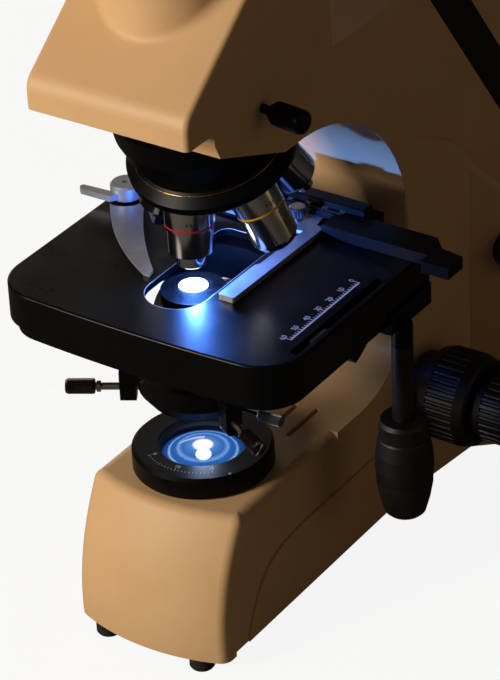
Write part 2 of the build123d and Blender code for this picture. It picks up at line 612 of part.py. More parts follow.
def prism_housing(side, hub_low):
    """Prism housing with its hub layer, one side of the head."""
    with BuildPart() as housing:
        with BuildSketch(HINGE.offset(hub_low)):
            Circle(HUB_R)
            with Locations((side * PUPIL_DISTANCE / 2, PUPIL_RISE)):
                Circle(LOBE_R)
            make_hull()
        extrude(amount=HUB_L)
        with BuildSketch(HINGE.offset(HINGE_FACE)):
            with Locations((side * PUPIL_DISTANCE / 2, PUPIL_RISE)):
                Circle(LOBE_R)
        extrude(amount=PRISM_DEPTH)
        front_face = housing.faces().sort_by(Axis(HINGE.origin, HINGE.z_dir))[-1]
        chamfer(front_face.edges(), length=1.0)
        with BuildSketch(HINGE.offset(HINGE_FACE - 1)):
            Circle(5 + RUN)
        extrude(amount=PRISM_DEPTH + 2, mode=Mode.SUBTRACT)
        with BuildSketch(HINGE.offset(HINGE_FACE + PRISM_DEPTH - 12)):
            with Locations((side * PUPIL_DISTANCE / 2, PUPIL_RISE)):
                Circle(EYE_BORE_R - 2)
        extrude(amount=13, mode=Mode.SUBTRACT)
    return housing.part


def eye_plane(side):
    """Plane across the eyepiece tube of one side, level with the prism housing's front face."""
    face = HINGE.offset(HINGE_FACE + PRISM_DEPTH)
    centre = face.from_local_coords((side * PUPIL_DISTANCE / 2, PUPIL_RISE, 0))
    return Plane(origin=centre, x_dir=HINGE.x_dir, z_dir=HINGE.z_dir)


EYE_SEAT = EYE_TUBE_L + 0.3
for side, name in ((-1, "left"), (1, "right")):
    save(prism_housing(side, HINGE_FACE if side < 0 else HINGE_FACE + HUB_L + GAP), f"prism_housing_{name}")
    eye = eye_plane(side)
    with BuildPart() as tube:
        neck_r = EYE_TUBE_R - 1.2 if side < 0 else EYE_TUBE_R
        turn(eye, (EYE_BORE_R, 0), (EYE_TUBE_R + 2.5, 0), (EYE_TUBE_R + 2.5, 3), (EYE_TUBE_R, 4.5),
             (EYE_TUBE_R, 12), (neck_r, 12), (neck_r, 26), (EYE_TUBE_R, 26), (EYE_TUBE_R, EYE_TUBE_L),
             (EYE_BORE_R, EYE_TUBE_L)) if side < 0 else turn(
            eye, (EYE_BORE_R, 0), (EYE_TUBE_R + 2.5, 0), (EYE_TUBE_R + 2.5, 3), (EYE_TUBE_R, 4.5),
            (EYE_TUBE_R, EYE_TUBE_L), (EYE_BORE_R, EYE_TUBE_L))
    save(tube.part, f"eyepiece_tube_{name}")
    with BuildPart() as eyepiece:
        turn(eye, (0, 8), (EYE_BORE_R - 0.05, 8), (EYE_BORE_R - 0.05, EYE_SEAT), (EYE_TUBE_R, EYE_SEAT),
             (EYE_TUBE_R, EYE_SEAT + 4), (15.5, EYE_SEAT + 6), (15.5, EYE_SEAT + 30), (14, EYE_SEAT + 31),
             (0, EYE_SEAT + 31))
        turn(eye, (0, EYE_SEAT + 28), (9, EYE_SEAT + 28.6), (12, EYE_SEAT + 32), (0, EYE_SEAT + 32),
             mode=Mode.SUBTRACT)
    save(eyepiece.part, f"eyepiece_{name}")
    with BuildPart() as eyecup:
        turn(eye, (15.5 + RUN, EYE_SEAT + 14), (17.5, EYE_SEAT + 14), (18.2, EYE_SEAT + 24), (19.4, EYE_SEAT + 37),
             (18.6, EYE_SEAT + 37.5), (17, EYE_SEAT + 32), (15.5 + RUN, EYE_SEAT + 30.5))
    save(eyecup.part, f"eyecup_{name}")

with BuildPart() as diopter_ring:
    eye = eye_plane(-1)
    turn(eye, (EYE_TUBE_R - 1.2 + RUN, 12.4), (18.6, 12.4), (19.2, 13), (19.2, 25), (18.6, 25.6),
         (EYE_TUBE_R - 1.2 + RUN, 25.6))
save(diopter_ring.part, "diopter_ring")

with BuildPart() as beam_splitter_rod:
    turn(Plane(origin=(-HEAD_HALF, AXIS_Y + 30, 332), x_dir=(0, 1, 0), z_dir=(-1, 0, 0)),
         (0, -23), (3, -23), (3, 6), (6, 6), (6.6, 6.6), (6.6, 15), (6, 15.6), (0, 15.6))
save(beam_splitter_rod.part, "beam_splitter_rod")

with BuildPart() as head_lock_screw:
    tip = SPIGOT_R + GAP - ARM_HALF
    turn(LOCK, (0, tip), (1.6, tip), (LOCK_R, tip + 1), (LOCK_R, 4.6), (3.6, 4.8), (5.6, 7.4), (5.9, 8.6), (5.9, 21.6),
         (5.2, 23.4), (4.4, 24), (0, 24))
save(head_lock_screw.part, "head_lock_screw")

# Revolving nosepiece: knurled ring over a dome with five tilted seats, hardest piece of the part

SEAT_R = 12.8
THREAD_R = 10.1
DOME_R = 77.0


def objective_plane(index):
    """Plane at the apex across the axis of one objective, index 0 being in use."""
    tilt = radians(TURRET_TILT)
    turn_by = radians(360 / OBJECTIVE_COUNT * index)
    down = Vector(0, sin(tilt), -cos(tilt))
    front = Vector(0, -cos(tilt), -sin(tilt))
    right = Vector(1, 0, 0)
    axis = down * cos(tilt) + (front * cos(turn_by) + right * sin(turn_by)) * sin(tilt)
    return Plane(origin=(0, AXIS_Y, APEX_Z), x_dir=right.cross(axis), z_dir=axis)


with BuildPart() as nosepiece_turret:
    with BuildSketch(Plane(TURRET.origin, x_dir=TURRET.x_dir, z_dir=-TURRET.y_dir)):
        with BuildLine():
            dome_s = sqrt(DOME_R**2 - 39.0**2)
            Polyline((0, 56.3), (35.5, 56.3), (36.3, 57.1), (TURRET_R, 61.5), (TURRET_R, 65.0), (40.6, dome_s),
                     (39, dome_s))
            ThreePointArc((39, dome_s), (20, sqrt(DOME_R**2 - 400)), (0, DOME_R))
            Line((0, DOME_R), (0, 56.3))
        make_face()
    revolve(axis=Axis(TURRET.origin, TURRET.z_dir))
    for index in range(OBJECTIVE_COUNT):
        seat = objective_plane(index)
        turn(seat, (0, PARFOCAL_SEAT), (SEAT_R, PARFOCAL_SEAT), (SEAT_R, 90), (0, 90), mode=Mode.SUBTRACT)
        turn(seat, (0, 50), (THREAD_R + RUN, 50), (THREAD_R + RUN, 80), (0, 80), mode=Mode.SUBTRACT)
    flutes(TURRET, TURRET_R + 0.4, 63.4, 68, 84, 0.75)
save(nosepiece_turret.part, "nosepiece_turret")

# Objectives: lower barrel and nose of each, as (radius, length from the apex)
RING_AT = 88.5           # colour ring groove, from the apex
RING_W = 1.1
UPPER_R = 12.2
OBJECTIVES = [
    ("objective_4x", [(11.15, 90.5), (11.15, 103.6), (10.8, 103.9), (9.0, 104.4), (7.4, 110.8), (7.0, 111.2),
                      (5.6, 111.2), (5.4, 110.4), (0, 110.4)]),
    ("objective_10x", [(11.55, 90.5), (11.55, 106.0), (11.2, 107.0), (9.5, 109.5), (7.2, 111.0), (6.4, 111.2),
                       (4.4, 111.2), (4.2, 110.6), (0, 110.6)]),
    ("objective_20x", [(11.55, 90.5), (11.55, 106.0), (11.2, 107.0), (9.0, 109.6), (6.4, 111.0), (5.0, 111.6),
                       (4.6, 117.0), (4.2, 117.5), (2.6, 117.5), (2.4, 117.1), (0, 117.1)]),
    ("objective_40x", [(11.3, 90.5), (11.3, 103.0), (9.4, 105.0), (6.4, 111.0), (4.4, 118.8), (4.0, 119.3),
                       (2.4, 119.3), (2.2, 118.9), (0, 118.9)]),
    ("objective_100x", [(11.3, 90.5), (11.3, 103.0), (9.2, 105.0), (6.0, 111.5), (3.8, 119.2), (3.4, 119.7),
                        (2.0, 119.7), (1.8, 119.3), (0, 119.3)]),
]
for index, (name, nose) in enumerate(OBJECTIVES):
    axis_plane = objective_plane(index)
    with BuildPart() as objective:
        turn(axis_plane, (0, 68), (THREAD_R, 68), (THREAD_R, PARFOCAL_SEAT + 0.02), (UPPER_R, PARFOCAL_SEAT + 0.02),
             (UPPER_R, 90.2), *nose)
        turn(axis_plane, (UPPER_R - 0.3, RING_AT - RING_W / 2), (UPPER_R + 1, RING_AT - RING_W / 2),
             (UPPER_R + 1, RING_AT + RING_W / 2), (UPPER_R - 0.3, RING_AT + RING_W / 2), mode=Mode.SUBTRACT)
    save(objective.part, name)

# Coaxial focus knobs

COARSE_END = COARSE_X + COARSE_L


def focus_knob(side, radius, low, high, bore, teeth):
    """Fluted focus knob between two distances from the middle of the microscope."""
    plane = Plane(origin=(0, AXIS_Y + FOCUS_Y, FOCUS_Z), x_dir=(0, 1, 0), z_dir=(side, 0, 0))
    rim = radius - 1.5
    turn(plane, (bore, low), (rim - 1, low), (rim, low + 1), (radius, low + 6), (radius, high - 6),
         (rim, high - 1), (rim - 1.5, high), (rim - 5, high), (rim - 6, high - 0.8), (bore, high - 0.8))
    flutes(plane, radius + 0.5, low + 6, high - 6, teeth, 1.3)


# The sleeve joins the coarse knobs through the base, and the fine knobs' shaft runs inside it
with BuildPart() as coarse_sleeve:
    with BuildSketch(shaft_plane(-COARSE_END + 3, FOCUS_Y, FOCUS_Z)):
        Circle(SLEEVE_R)
        Circle(FINE_SHAFT_R + RUN, mode=Mode.SUBTRACT)
    extrude(amount=2 * COARSE_END - 6)
save(coarse_sleeve.part, "coarse_sleeve")

with BuildPart() as fine_shaft:
    with BuildSketch(shaft_plane(-FINE_END + 4, FOCUS_Y, FOCUS_Z)):
        Circle(FINE_SHAFT_R)
    extrude(amount=2 * FINE_END - 8)
save(fine_shaft.part, "fine_shaft")

for side, name in ((1, "right"), (-1, "left")):
    with BuildPart() as coarse:
        focus_knob(side, COARSE_R, COARSE_X, COARSE_END, SLEEVE_R + 0.02, 40)
    save(coarse.part, f"coarse_knob_{name}")
    with BuildPart() as fine:
        focus_knob(side, FINE_R, COARSE_END + GAP, FINE_END, FINE_SHAFT_R + 0.02, 30)
        cap = Plane(origin=(0, AXIS_Y + FOCUS_Y, FOCUS_Z), x_dir=(0, 1, 0), z_dir=(side, 0, 0))
        turn(cap, (0, FINE_END - 3.9), (6, FINE_END - 3.9), (6, FINE_END - 0.8), (0, FINE_END - 0.8))
        turn(cap, (8, FINE_END - 2), (10, FINE_END - 2), (10, FINE_END + 1), (8, FINE_END + 1), mode=Mode.SUBTRACT)
    save(fine.part, f"fine_knob_{name}")

with BuildPart() as tension_collar:
    collar = shaft_plane(0, FOCUS_Y, FOCUS_Z)
    turn(collar, (SLEEVE_R + RUN, 47.6), (18.5, 47.6), (19, 48.1), (19, 55.2), (18.5, 55.7), (SLEEVE_R + RUN, 55.7))
save(tension_collar.part, "tension_collar")

# Stage carrier on the guide rail, with the arm that holds the condenser's rail

with BuildPart() as stage_bracket:
    with BuildSketch(PLAN.offset(CARRIER_BOTTOM)):
        with Locations((0, 107)):
            Rectangle(68, 24)
    extrude(amount=CARRIER_TOP - CARRIER_BOTTOM)
    fillet(stage_bracket.edges().filter_by(Axis.Z).group_by(Axis.Y)[0], radius=5)
    with BuildSketch(PLAN.offset(CARRIER_BOTTOM - 1)):
        with Locations((0, 114)):
            Rectangle(2 * (RAIL_HALF + GAP), 2 * (114 - GUIDE_FRONT + GAP))
    extrude(amount=CARRIER_TOP - CARRIER_BOTTOM + 2, mode=Mode.SUBTRACT)
    with BuildSketch(PLAN.offset(140)):
        with Locations((0, 80.5)):
            Rectangle(44, 29)
    extrude(amount=18)
    with BuildSketch(PLAN.offset(120)):
        with Locations((0, 64)):
            Rectangle(18, 4.2)
    extrude(amount=38)
save(stage_bracket.part, "stage_bracket")

# Fixed lower plate of the stage; its tongue at the right carries the vernier

with BuildPart() as stage_lower_plate:
    with BuildSketch(PLAN.offset(LOWER_PLATE_BOTTOM)):
        with BuildLine():
            Polyline((-LOWER_PLATE_HALF, -26), (LOWER_PLATE_HALF, -26), (LOWER_PLATE_HALF, 78), (34, 78), (34, 95),
                     (-34, 95), (-34, 78), (-LOWER_PLATE_HALF, 78), close=True)
        make_face()
        Circle(LOWER_PLATE_HOLE_R, mode=Mode.SUBTRACT)
    extrude(amount=STAGE_TOP - STAGE_PLATE_T - GAP - LOWER_PLATE_BOTTOM)
    with BuildSketch(PLAN.offset(CARRIER_TOP)):
        with Locations((0, 100)):
            Rectangle(68, 14)
    extrude(amount=STAGE_TOP - STAGE_PLATE_T - GAP - CARRIER_TOP)
    with BuildSketch(PLAN.offset(178)):
        with Locations((LOWER_PLATE_HALF + 4.0, -10.2)):
            Rectangle(10, 14)
    extrude(amount=STAGE_TOP - STAGE_PLATE_T - GAP - 178)
save(stage_lower_plate.part, "stage_lower_plate")

# Stage top plate: bowed front, deep skirt at the front and sides, stepped lower rim

STAGE_CORNER = 24.0


def stage_sketch(height, inset, rear):
    """Plan of the stage, set in from its outer edge."""
    half = STAGE_HALF - inset
    front = STAGE_FRONT + inset
    with BuildSketch(PLAN.offset(height)) as plan:
        with BuildLine():
            ThreePointArc((-half, front + 3.5), (0, front), (half, front + 3.5))
            Polyline((half, front + 3.5), (half, rear), (-half, rear), (-half, front + 3.5))
        make_face()
        fillet(plan.vertices().group_by(Axis.Y)[0], radius=STAGE_CORNER - inset)
    return plan.sketch


SKIRT_LOW = STAGE_TOP - SKIRT_DEPTH
RIM_LOW = SKIRT_LOW - SKIRT_STEP
PLATE_LOW = STAGE_TOP - STAGE_PLATE_T
GUIDE_X = (-5.0, 46.0)
with BuildPart() as stage_top_plate:
    extrude(stage_sketch(SKIRT_LOW, 0, STAGE_REAR), amount=SKIRT_DEPTH)
    fillet(stage_top_plate.edges().group_by(Axis.Z)[-1].group_by(Axis.Y)[0], radius=1.2)
    extrude(stage_sketch(RIM_LOW, 3.5, STAGE_REAR - 4), amount=SKIRT_STEP)
    extrude(stage_sketch(SKIRT_LOW + 2, 4, STAGE_REAR + 20), amount=PLATE_LOW - SKIRT_LOW - 2, mode=Mode.SUBTRACT)
    extrude(stage_sketch(RIM_LOW - 1, 8.5, STAGE_REAR + 20), amount=SKIRT_STEP + 4, mode=Mode.SUBTRACT)
    # light opening with a round front end
    with BuildSketch(PLAN.offset(PLATE_LOW - 1)):
        with Locations((0, SLOT_FRONT + SLOT_HALF)):
            Circle(SLOT_HALF)
        with Locations((0, (SLOT_FRONT + SLOT_HALF + SLOT_REAR) / 2)):
            Rectangle(2 * SLOT_HALF, SLOT_REAR - SLOT_FRONT - SLOT_HALF)
        fillet(vertices().group_by(Axis.Y)[-1], radius=6)
    extrude(amount=STAGE_PLATE_T + 2, mode=Mode.SUBTRACT)
    # travel stop under the right rim
    with BuildSketch(SIDE.offset(STAGE_HALF - 7.5)):
        with BuildLine():
            Polyline((12, RIM_LOW), (28, RIM_LOW), (22, RIM_LOW - 3.6), (17, RIM_LOW - 5.5), (12, RIM_LOW), close=True)
        make_face()
    extrude(amount=4)
    # sunken slot along the Y scale where the vernier shows
    with BuildSketch(PLAN.offset(PLATE_LOW - 1)):
        with Locations((SCALE_SLOT_X - 0.8, 6)):
            SlotOverall(78, 4.4, rotation=90)
    extrude(amount=STAGE_PLATE_T + 2, mode=Mode.SUBTRACT)
save(stage_top_plate.part, "stage_top_plate")

# X guide block: bolts under the stage's rear edge and reaches over the slide bar
BAR_LOW = STAGE_TOP + GAP
BAR_TOP = 194.0
BAR_REAR = 83.0
GUIDE_REAR = 90.0
GUIDE_TOP = 198.0
with BuildPart() as x_guide_block:
    with BuildSketch(SIDE.offset(GUIDE_X[0])):
        with BuildLine():
            Polyline((STAGE_REAR, PLATE_LOW), (GUIDE_REAR, PLATE_LOW), (GUIDE_REAR, GUIDE_TOP),
                     (BAR_REAR - 1.2, GUIDE_TOP), (BAR_REAR - 1.2, BAR_TOP + GAP), (BAR_REAR + GAP, BAR_TOP + GAP),
                     (BAR_REAR + GAP, STAGE_TOP), (STAGE_REAR, STAGE_TOP), close=True)
        make_face()
    extrude(amount=GUIDE_X[1] - GUIDE_X[0])
    chamfer(x_guide_block.edges().group_by(Axis.Z)[-1], length=0.6)
save(x_guide_block.part, "x_guide_block")

# Bracket for the XY drive shaft: a plate under the stage's right rim, a cheek beside it and a boss
DRIVE = post_plane(DRIVE_X, DRIVE_Y)
BRACKET_X = 85.5         # outer face of the cheek
BRACKET_MID, BRACKET_L = 60.5, 37.0
with BuildPart() as drive_bracket:
    for inner_x, low, high in (
        (72.0, RIM_LOW - 2.2, RIM_LOW),
        (STAGE_HALF - 3.5, RIM_LOW - 0.2, SKIRT_LOW),
        (STAGE_HALF, SKIRT_LOW - 0.2, SKIRT_LOW + 2.1),
    ):
        with BuildSketch(PLAN.offset(low)):
            with Locations(((inner_x + BRACKET_X) / 2, BRACKET_MID)):
                Rectangle(BRACKET_X - inner_x, BRACKET_L)
        extrude(amount=high - low)
    turn(DRIVE, (0, DRIVE_TUBE_TOP + GAP), (DRIVE_SHAFT_R, DRIVE_TUBE_TOP + GAP), (DRIVE_SHAFT_R, RIM_LOW),
         (0, RIM_LOW))
    turn(DRIVE, (0, DRIVE_TUBE_TOP), (DRIVE_CORE_R + RUN, DRIVE_TUBE_TOP), (DRIVE_CORE_R + RUN, RIM_LOW - 1),
         (0, RIM_LOW - 1), mode=Mode.SUBTRACT)
save(drive_bracket.part, "drive_bracket")

# Coaxial stage drive: the Y knob on a tube, the X knob below it on the core
with BuildPart() as y_drive_knob:
    turn(DRIVE, (DRIVE_CORE_R + RUN, DRIVE_SEAM + GAP), (DRIVE_KNOB_R, DRIVE_SEAM + GAP), (DRIVE_KNOB_R + 0.4, 80),
         (DRIVE_KNOB_R, 88), (13.1, 96), (12.6, 97), (12.6, 105), (11.5, 107), (DRIVE_SHAFT_R, 107),
         (DRIVE_SHAFT_R, DRIVE_TUBE_TOP), (DRIVE_CORE_R + RUN, DRIVE_TUBE_TOP))
save(y_drive_knob.part, "y_drive_knob")

with BuildPart() as x_drive_knob:
    turn(DRIVE, (0, DRIVE_BOTTOM), (9, DRIVE_BOTTOM), (10.5, DRIVE_BOTTOM + 1.5), (12.8, 62), (14.2, 70),
         (DRIVE_KNOB_R - 0.1, DRIVE_SEAM), (DRIVE_CORE_R, DRIVE_SEAM), (DRIVE_CORE_R, RIM_LOW - 1.4),
         (0, RIM_LOW - 1.4))
save(x_drive_knob.part, "x_drive_knob")

# Specimen holder: slide bar with end tab, bright strip with arm, thumb screws, sprung finger

STRIP_FRONT = 61.0
STRIP_REAR = 77.5
LEDGE_TOP = 189.0
STRIP_TOP = LEDGE_TOP + 1.7
FINGER_X = -75.0
FINGER_Y = 50.5
FINGER_PIN_R = 2.5
HOLDER_SCREWS = [(15.5, 69.0), (-40.0, 69.0)]
HOLDER_SCREW_R = 1.5
with BuildPart() as x_slide_bar:
    with BuildSketch(PLAN.offset(BAR_LOW)):
        with BuildLine():
            Polyline((-62, STRIP_REAR + GAP), (31.2, STRIP_REAR + GAP), (31.2, 66), (91.7, 66), (91.7, 59.5), (107, 59.5),
                     (107, 73), (94.5, 75), (89, 81), (87, BAR_REAR), (-62, BAR_REAR), close=True)
        make_face()
    extrude(amount=BAR_TOP - BAR_LOW)
    # ledge under the bright strip, with the ear and pin of the finger
    with BuildSketch(PLAN.offset(BAR_LOW)):
        with BuildLine():
            Polyline((-86, STRIP_FRONT - 1), (31.2, STRIP_FRONT - 1), (31.2, STRIP_REAR + 1), (-62, STRIP_REAR + 1),
                     (-86, STRIP_REAR + 1), close=True)
        make_face()
        with Locations((FINGER_X, FINGER_Y)):
            Circle(8)
        with Locations((FINGER_X, (FINGER_Y + STRIP_FRONT) / 2)):
            Rectangle(16, STRIP_FRONT - FINGER_Y)
    extrude(amount=LEDGE_TOP - BAR_LOW)
    turn(post_plane(FINGER_X, FINGER_Y), (0, LEDGE_TOP - 0.5), (FINGER_PIN_R, LEDGE_TOP - 0.5), (FINGER_PIN_R, 195),
         (0, 195))
    for screw_x, screw_y in HOLDER_SCREWS:
        turn(post_plane(screw_x, screw_y), (0, 180), (HOLDER_SCREW_R + RUN, 180), (HOLDER_SCREW_R + RUN, 200),
             (0, 200), mode=Mode.SUBTRACT)
save(x_slide_bar.part, "x_slide_bar")

with BuildPart() as specimen_arm:
    with BuildSketch(PLAN.offset(LEDGE_TOP)):
        with BuildLine():
            Polyline((-86, STRIP_FRONT), (23.4, STRIP_FRONT), (22.6, 24), (21.0, 22.2), (20.8, -8.6), (21.4, -9.4),
                     (29, -9.4), (29.7, -8.6), (30.7, STRIP_FRONT), (30.7, 68), (25.8, 70), (25, STRIP_REAR),
                     (-86, STRIP_REAR), close=True)
        make_face()
    extrude(amount=STRIP_TOP - LEDGE_TOP)
    # the arm reaches down to just above the stage
    with BuildSketch(PLAN.offset(BAR_LOW)):
        with BuildLine():
            Polyline((23.4, STRIP_FRONT - 1.3), (22.6, 24), (21.0, 22.2), (20.8, -8.6), (21.4, -9.4), (29, -9.4),
                     (29.7, -8.6), (30.7, STRIP_FRONT - 1.3), close=True)
        make_face()
    extrude(amount=LEDGE_TOP - BAR_LOW)
    for screw_x, screw_y in HOLDER_SCREWS:
        turn(post_plane(screw_x, screw_y), (0, 180), (HOLDER_SCREW_R + RUN, 180), (HOLDER_SCREW_R + RUN, 200),
             (0, 200), mode=Mode.SUBTRACT)
save(specimen_arm.part, "specimen_arm")

SCREW_HEAD_R = 4.1
with BuildPart() as thumb_screws:
    for screw_x, screw_y in HOLDER_SCREWS:
        screw = post_plane(screw_x, screw_y)
        turn(screw, (0, BAR_LOW + 0.2), (HOLDER_SCREW_R, BAR_LOW + 0.2), (HOLDER_SCREW_R, STRIP_TOP), (2.2, STRIP_TOP),
             (2.2, 193.2), (SCREW_HEAD_R - 0.4, 193.2), (SCREW_HEAD_R, 193.6), (SCREW_HEAD_R, 198.3),
             (SCREW_HEAD_R - 0.5, 198.8), (0, 198.8))
        flutes(screw, SCREW_HEAD_R + 0.3, 193.6, 198.3, 18, 0.5)
save(thumb_screws.part, "thumb_screws")

HUB_TOP = 197.2
HUB_SEAT = LEDGE_TOP + GAP
FINGER_HUB_R = 8.1
with BuildPart() as specimen_finger:
    pivot = post_plane(FINGER_X, FINGER_Y)
    turn(pivot, (0, HUB_SEAT), (FINGER_HUB_R - 0.5, HUB_SEAT), (FINGER_HUB_R, HUB_SEAT + 0.5), (FINGER_HUB_R, 196.2),
         (FINGER_HUB_R - 1, HUB_TOP), (2, HUB_TOP), (1.2, HUB_TOP - 0.5), (0, HUB_TOP - 0.5))
    # thumb lever to the left
    with BuildSketch(PLAN.offset(190.8)):
        with BuildLine():
            Polyline((-96.4, 40.2), (-95.6, 42.4), (-80, 43.4), (-76, 44), (-74, 42.6), (-76.6, 38.4), (-94.4, 38.2),
                     close=True)
        make_face()
        fillet(vertices().group_by(Axis.X)[0], radius=0.8)
    extrude(amount=3.2)
    # curved blade that tapers to a blunt tip, low beyond the bar's ledge
    with BuildSketch(PLAN.offset(BAR_LOW)) as blade:
        with BuildLine():
            ThreePointArc((-80.5, 44.0), (-54.0, 13.0), (-23.2, -8.6))
            Polyline((-23.2, -8.6), (-19.4, -8.9), (-20.5, -4.1))
            ThreePointArc((-20.5, -4.1), (-42.7, 20.0), (-63.5, 49.5))
            Polyline((-63.5, 49.5), (-70.0, 49.0), (-80.5, 44.0))
        make_face()
    extrude(amount=HOLDER_T)
    turn(pivot, (0, BAR_LOW - 1), (11.5, BAR_LOW - 1), (11.5, HUB_SEAT), (0, HUB_SEAT), mode=Mode.SUBTRACT)
    turn(pivot, (0, HUB_SEAT - 1), (FINGER_PIN_R + RUN, HUB_SEAT - 1), (FINGER_PIN_R + RUN, 195.3), (0, 195.3),
         mode=Mode.SUBTRACT)
save(specimen_finger.part, "specimen_finger")

# Condenser: ring carrier with centring screws, turned body, iris ring with lever

LIP_R = 19.0
BOSS_W, BOSS_H, BOSS_MID = 8.5, 17.0, 129.0
CENTRING_R = 1.9
CENTRING_SIDES = ((-CENTRING_ANGLE, "right"), (180 + CENTRING_ANGLE, "left"))


def radial_plane(angle, height):
    """Plane on the optical axis that faces outward at an angle in plan."""
    outward = (cos(radians(angle)), sin(radians(angle)), 0)
    return Plane(origin=(0, AXIS_Y, height), x_dir=(-outward[1], outward[0], 0), z_dir=outward)


with BuildPart() as condenser_carrier:
    turn(PLAN, (LIP_R, 122.8), (24.6, 122.8), (25.5, 124), (FORK_R, FORK_LOW), (FORK_R, FORK_LOW + FORK_T),
         (CONDENSER_FLANGE_R + GAP, FORK_LOW + FORK_T), (CONDENSER_FLANGE_R + GAP, CONDENSER_SEAT),
         (LIP_R, CONDENSER_SEAT))
    with BuildSketch(PLAN.offset(FORK_LOW)):
        with Locations((0, 45.3)):
            Rectangle(24, 32.6)
    extrude(amount=FORK_T)
    for angle, name in CENTRING_SIDES:
        with BuildSketch(radial_plane(angle, BOSS_MID).offset(31)):
            RectangleRounded(BOSS_W, BOSS_H, 2.2)
        extrude(amount=8)
        with BuildSketch(radial_plane(angle, FORK_LOW + 3.75).offset(27)):
            Rectangle(BOSS_W, 7.5)
        extrude(amount=6)
    for angle, name in CENTRING_SIDES:
        with BuildSketch(radial_plane(angle, SCREW_Z).offset(20)):
            Circle(CENTRING_R + RUN)
        extrude(amount=25, mode=Mode.SUBTRACT)
    with BuildSketch(shaft_plane(-13, 48, FORK_LOW + 4)):
        Circle(2.5 + RUN)
    extrude(amount=20, mode=Mode.SUBTRACT)
save(condenser_carrier.part, "condenser_carrier")

with BuildPart() as condenser_body:
    turn(PLAN, (11, CONDENSER_LOW), (20, CONDENSER_LOW), (20, CONDENSER_LOW + 0.7),
         (CONDENSER_BARREL_R, CONDENSER_LOW + 0.7), (CONDENSER_BARREL_R, CONDENSER_SEAT),
         (CONDENSER_FLANGE_R, CONDENSER_SEAT), (CONDENSER_FLANGE_R, 133), (15.6, 133), (15.6, 178),
         (CONDENSER_DISC_R, 178), (CONDENSER_DISC_R, 183), (15, 183), (9.3, 184.6), (7.25 + RUN, 184.6),
         (7.25 + RUN, 180), (11, 176))
save(condenser_body.part, "condenser_body")

with BuildPart() as condenser_top_lens:
    turn(PLAN, (0, 180), (7.25, 180), (7.25, 184.6), (4, LENS_TIP - 0.1), (0, LENS_TIP))
save(condenser_top_lens.part, "condenser_top_lens")

for angle, name in CENTRING_SIDES:
    with BuildPart() as centring_screw:
        turn(radial_plane(angle, SCREW_Z), (0, CONDENSER_FLANGE_R + 0.1), (CENTRING_R, CONDENSER_FLANGE_R + 0.1),
             (CENTRING_R, 48.7), (2.9, 48.7), (2.9, 50.5), (CENTRING_R, 50.5), (CENTRING_R, 51.5), (3.5, 51.5),
             (3.9, 52), (3.9, 64.8), (3.3, 66), (0, 66))
    save(centring_screw.part, f"centring_screw_{name}")

IRIS_LOW = CONDENSER_LOW + 1.0
IRIS_T = 2.0
with BuildPart() as iris_ring:
    turn(PLAN, (CONDENSER_BARREL_R + GAP, IRIS_LOW), (21.5, IRIS_LOW), (21.5, IRIS_LOW + IRIS_T),
         (CONDENSER_BARREL_R + GAP, IRIS_LOW + IRIS_T))
    turn(shaft_plane(0, 0, IRIS_LOW + IRIS_T / 2), (0, 20.5), (1, 20.5), (1, 35), (2.4, 35), (2.8, 35.5), (2.8, 47.5),
         (2.3, 48), (0, 48))
save(iris_ring.part, "iris_ring")

with BuildPart() as condenser_knob:
    turn(Plane(origin=(0, AXIS_Y + 48, FORK_LOW + 4), x_dir=(0, 1, 0), z_dir=(-1, 0, 0)),
         (0, -6), (2.5, -6), (2.5, 22), (9, 22), (10, 23), (10, 35), (9, 36), (0, 36))
save(condenser_knob.part, "condenser_knob")
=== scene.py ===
import bpy
from math import cos, pi, radians, sin
from mathutils import Matrix, Vector


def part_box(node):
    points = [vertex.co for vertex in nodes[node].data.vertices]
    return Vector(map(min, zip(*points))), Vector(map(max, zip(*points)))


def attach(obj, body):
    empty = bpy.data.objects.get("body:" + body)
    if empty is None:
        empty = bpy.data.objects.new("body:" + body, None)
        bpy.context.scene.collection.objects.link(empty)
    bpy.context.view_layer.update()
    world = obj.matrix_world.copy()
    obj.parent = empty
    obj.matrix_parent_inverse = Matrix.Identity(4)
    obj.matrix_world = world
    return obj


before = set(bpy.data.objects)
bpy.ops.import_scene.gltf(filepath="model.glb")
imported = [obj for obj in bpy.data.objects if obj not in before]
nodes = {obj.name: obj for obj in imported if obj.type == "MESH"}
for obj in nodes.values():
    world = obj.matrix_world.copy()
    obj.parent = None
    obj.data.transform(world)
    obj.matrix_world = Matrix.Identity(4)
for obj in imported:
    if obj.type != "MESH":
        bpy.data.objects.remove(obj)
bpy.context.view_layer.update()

# Camera: a long lens from the front right, a good metre and a half away and looking down 31 degrees,
# as the photograph was taken. The angles and the distance come from the millimetre scales on the stage.
axis_y = (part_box("field_iris_ring")[0][1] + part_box("field_iris_ring")[1][1]) / 2
turn, tilt, roll = radians(35.01), 0.547796, -0.0488466
stand_point = Vector((0.782975, -1.072716 + axis_y, 0.962181))
back = Vector((sin(turn) * cos(tilt), -cos(turn) * cos(tilt), sin(tilt)))
level = Vector((cos(turn), sin(turn), 0))
upward = back.cross(level)
right = level * cos(roll) + upward * sin(roll)
up = upward * cos(roll) - level * sin(roll)
camera = bpy.data.objects.new("camera", bpy.data.cameras.new("camera"))
bpy.context.collection.objects.link(camera)
camera.data.lens = 169.41
camera.data.clip_end = 20
pose = Matrix((right, up, back)).transposed().to_4x4()
pose.translation = stand_point
camera.matrix_world = pose
bpy.context.scene.camera = camera
bpy.context.scene.view_settings.view_transform = "Standard"


# Studio: a white floor and a white surround, which the camera sees, also through glass. For light and
# for mirror images the room is dim and warm instead, so that satin black metal stays black in it.
def linear(code):
    """sRGB hex to linear colour"""
    values = [int(code[i:i + 2], 16) / 255 for i in (1, 3, 5)]
    return [v / 12.92 if v <= 0.04045 else ((v + 0.055) / 1.055) ** 2.4 for v in values] + [1.0]


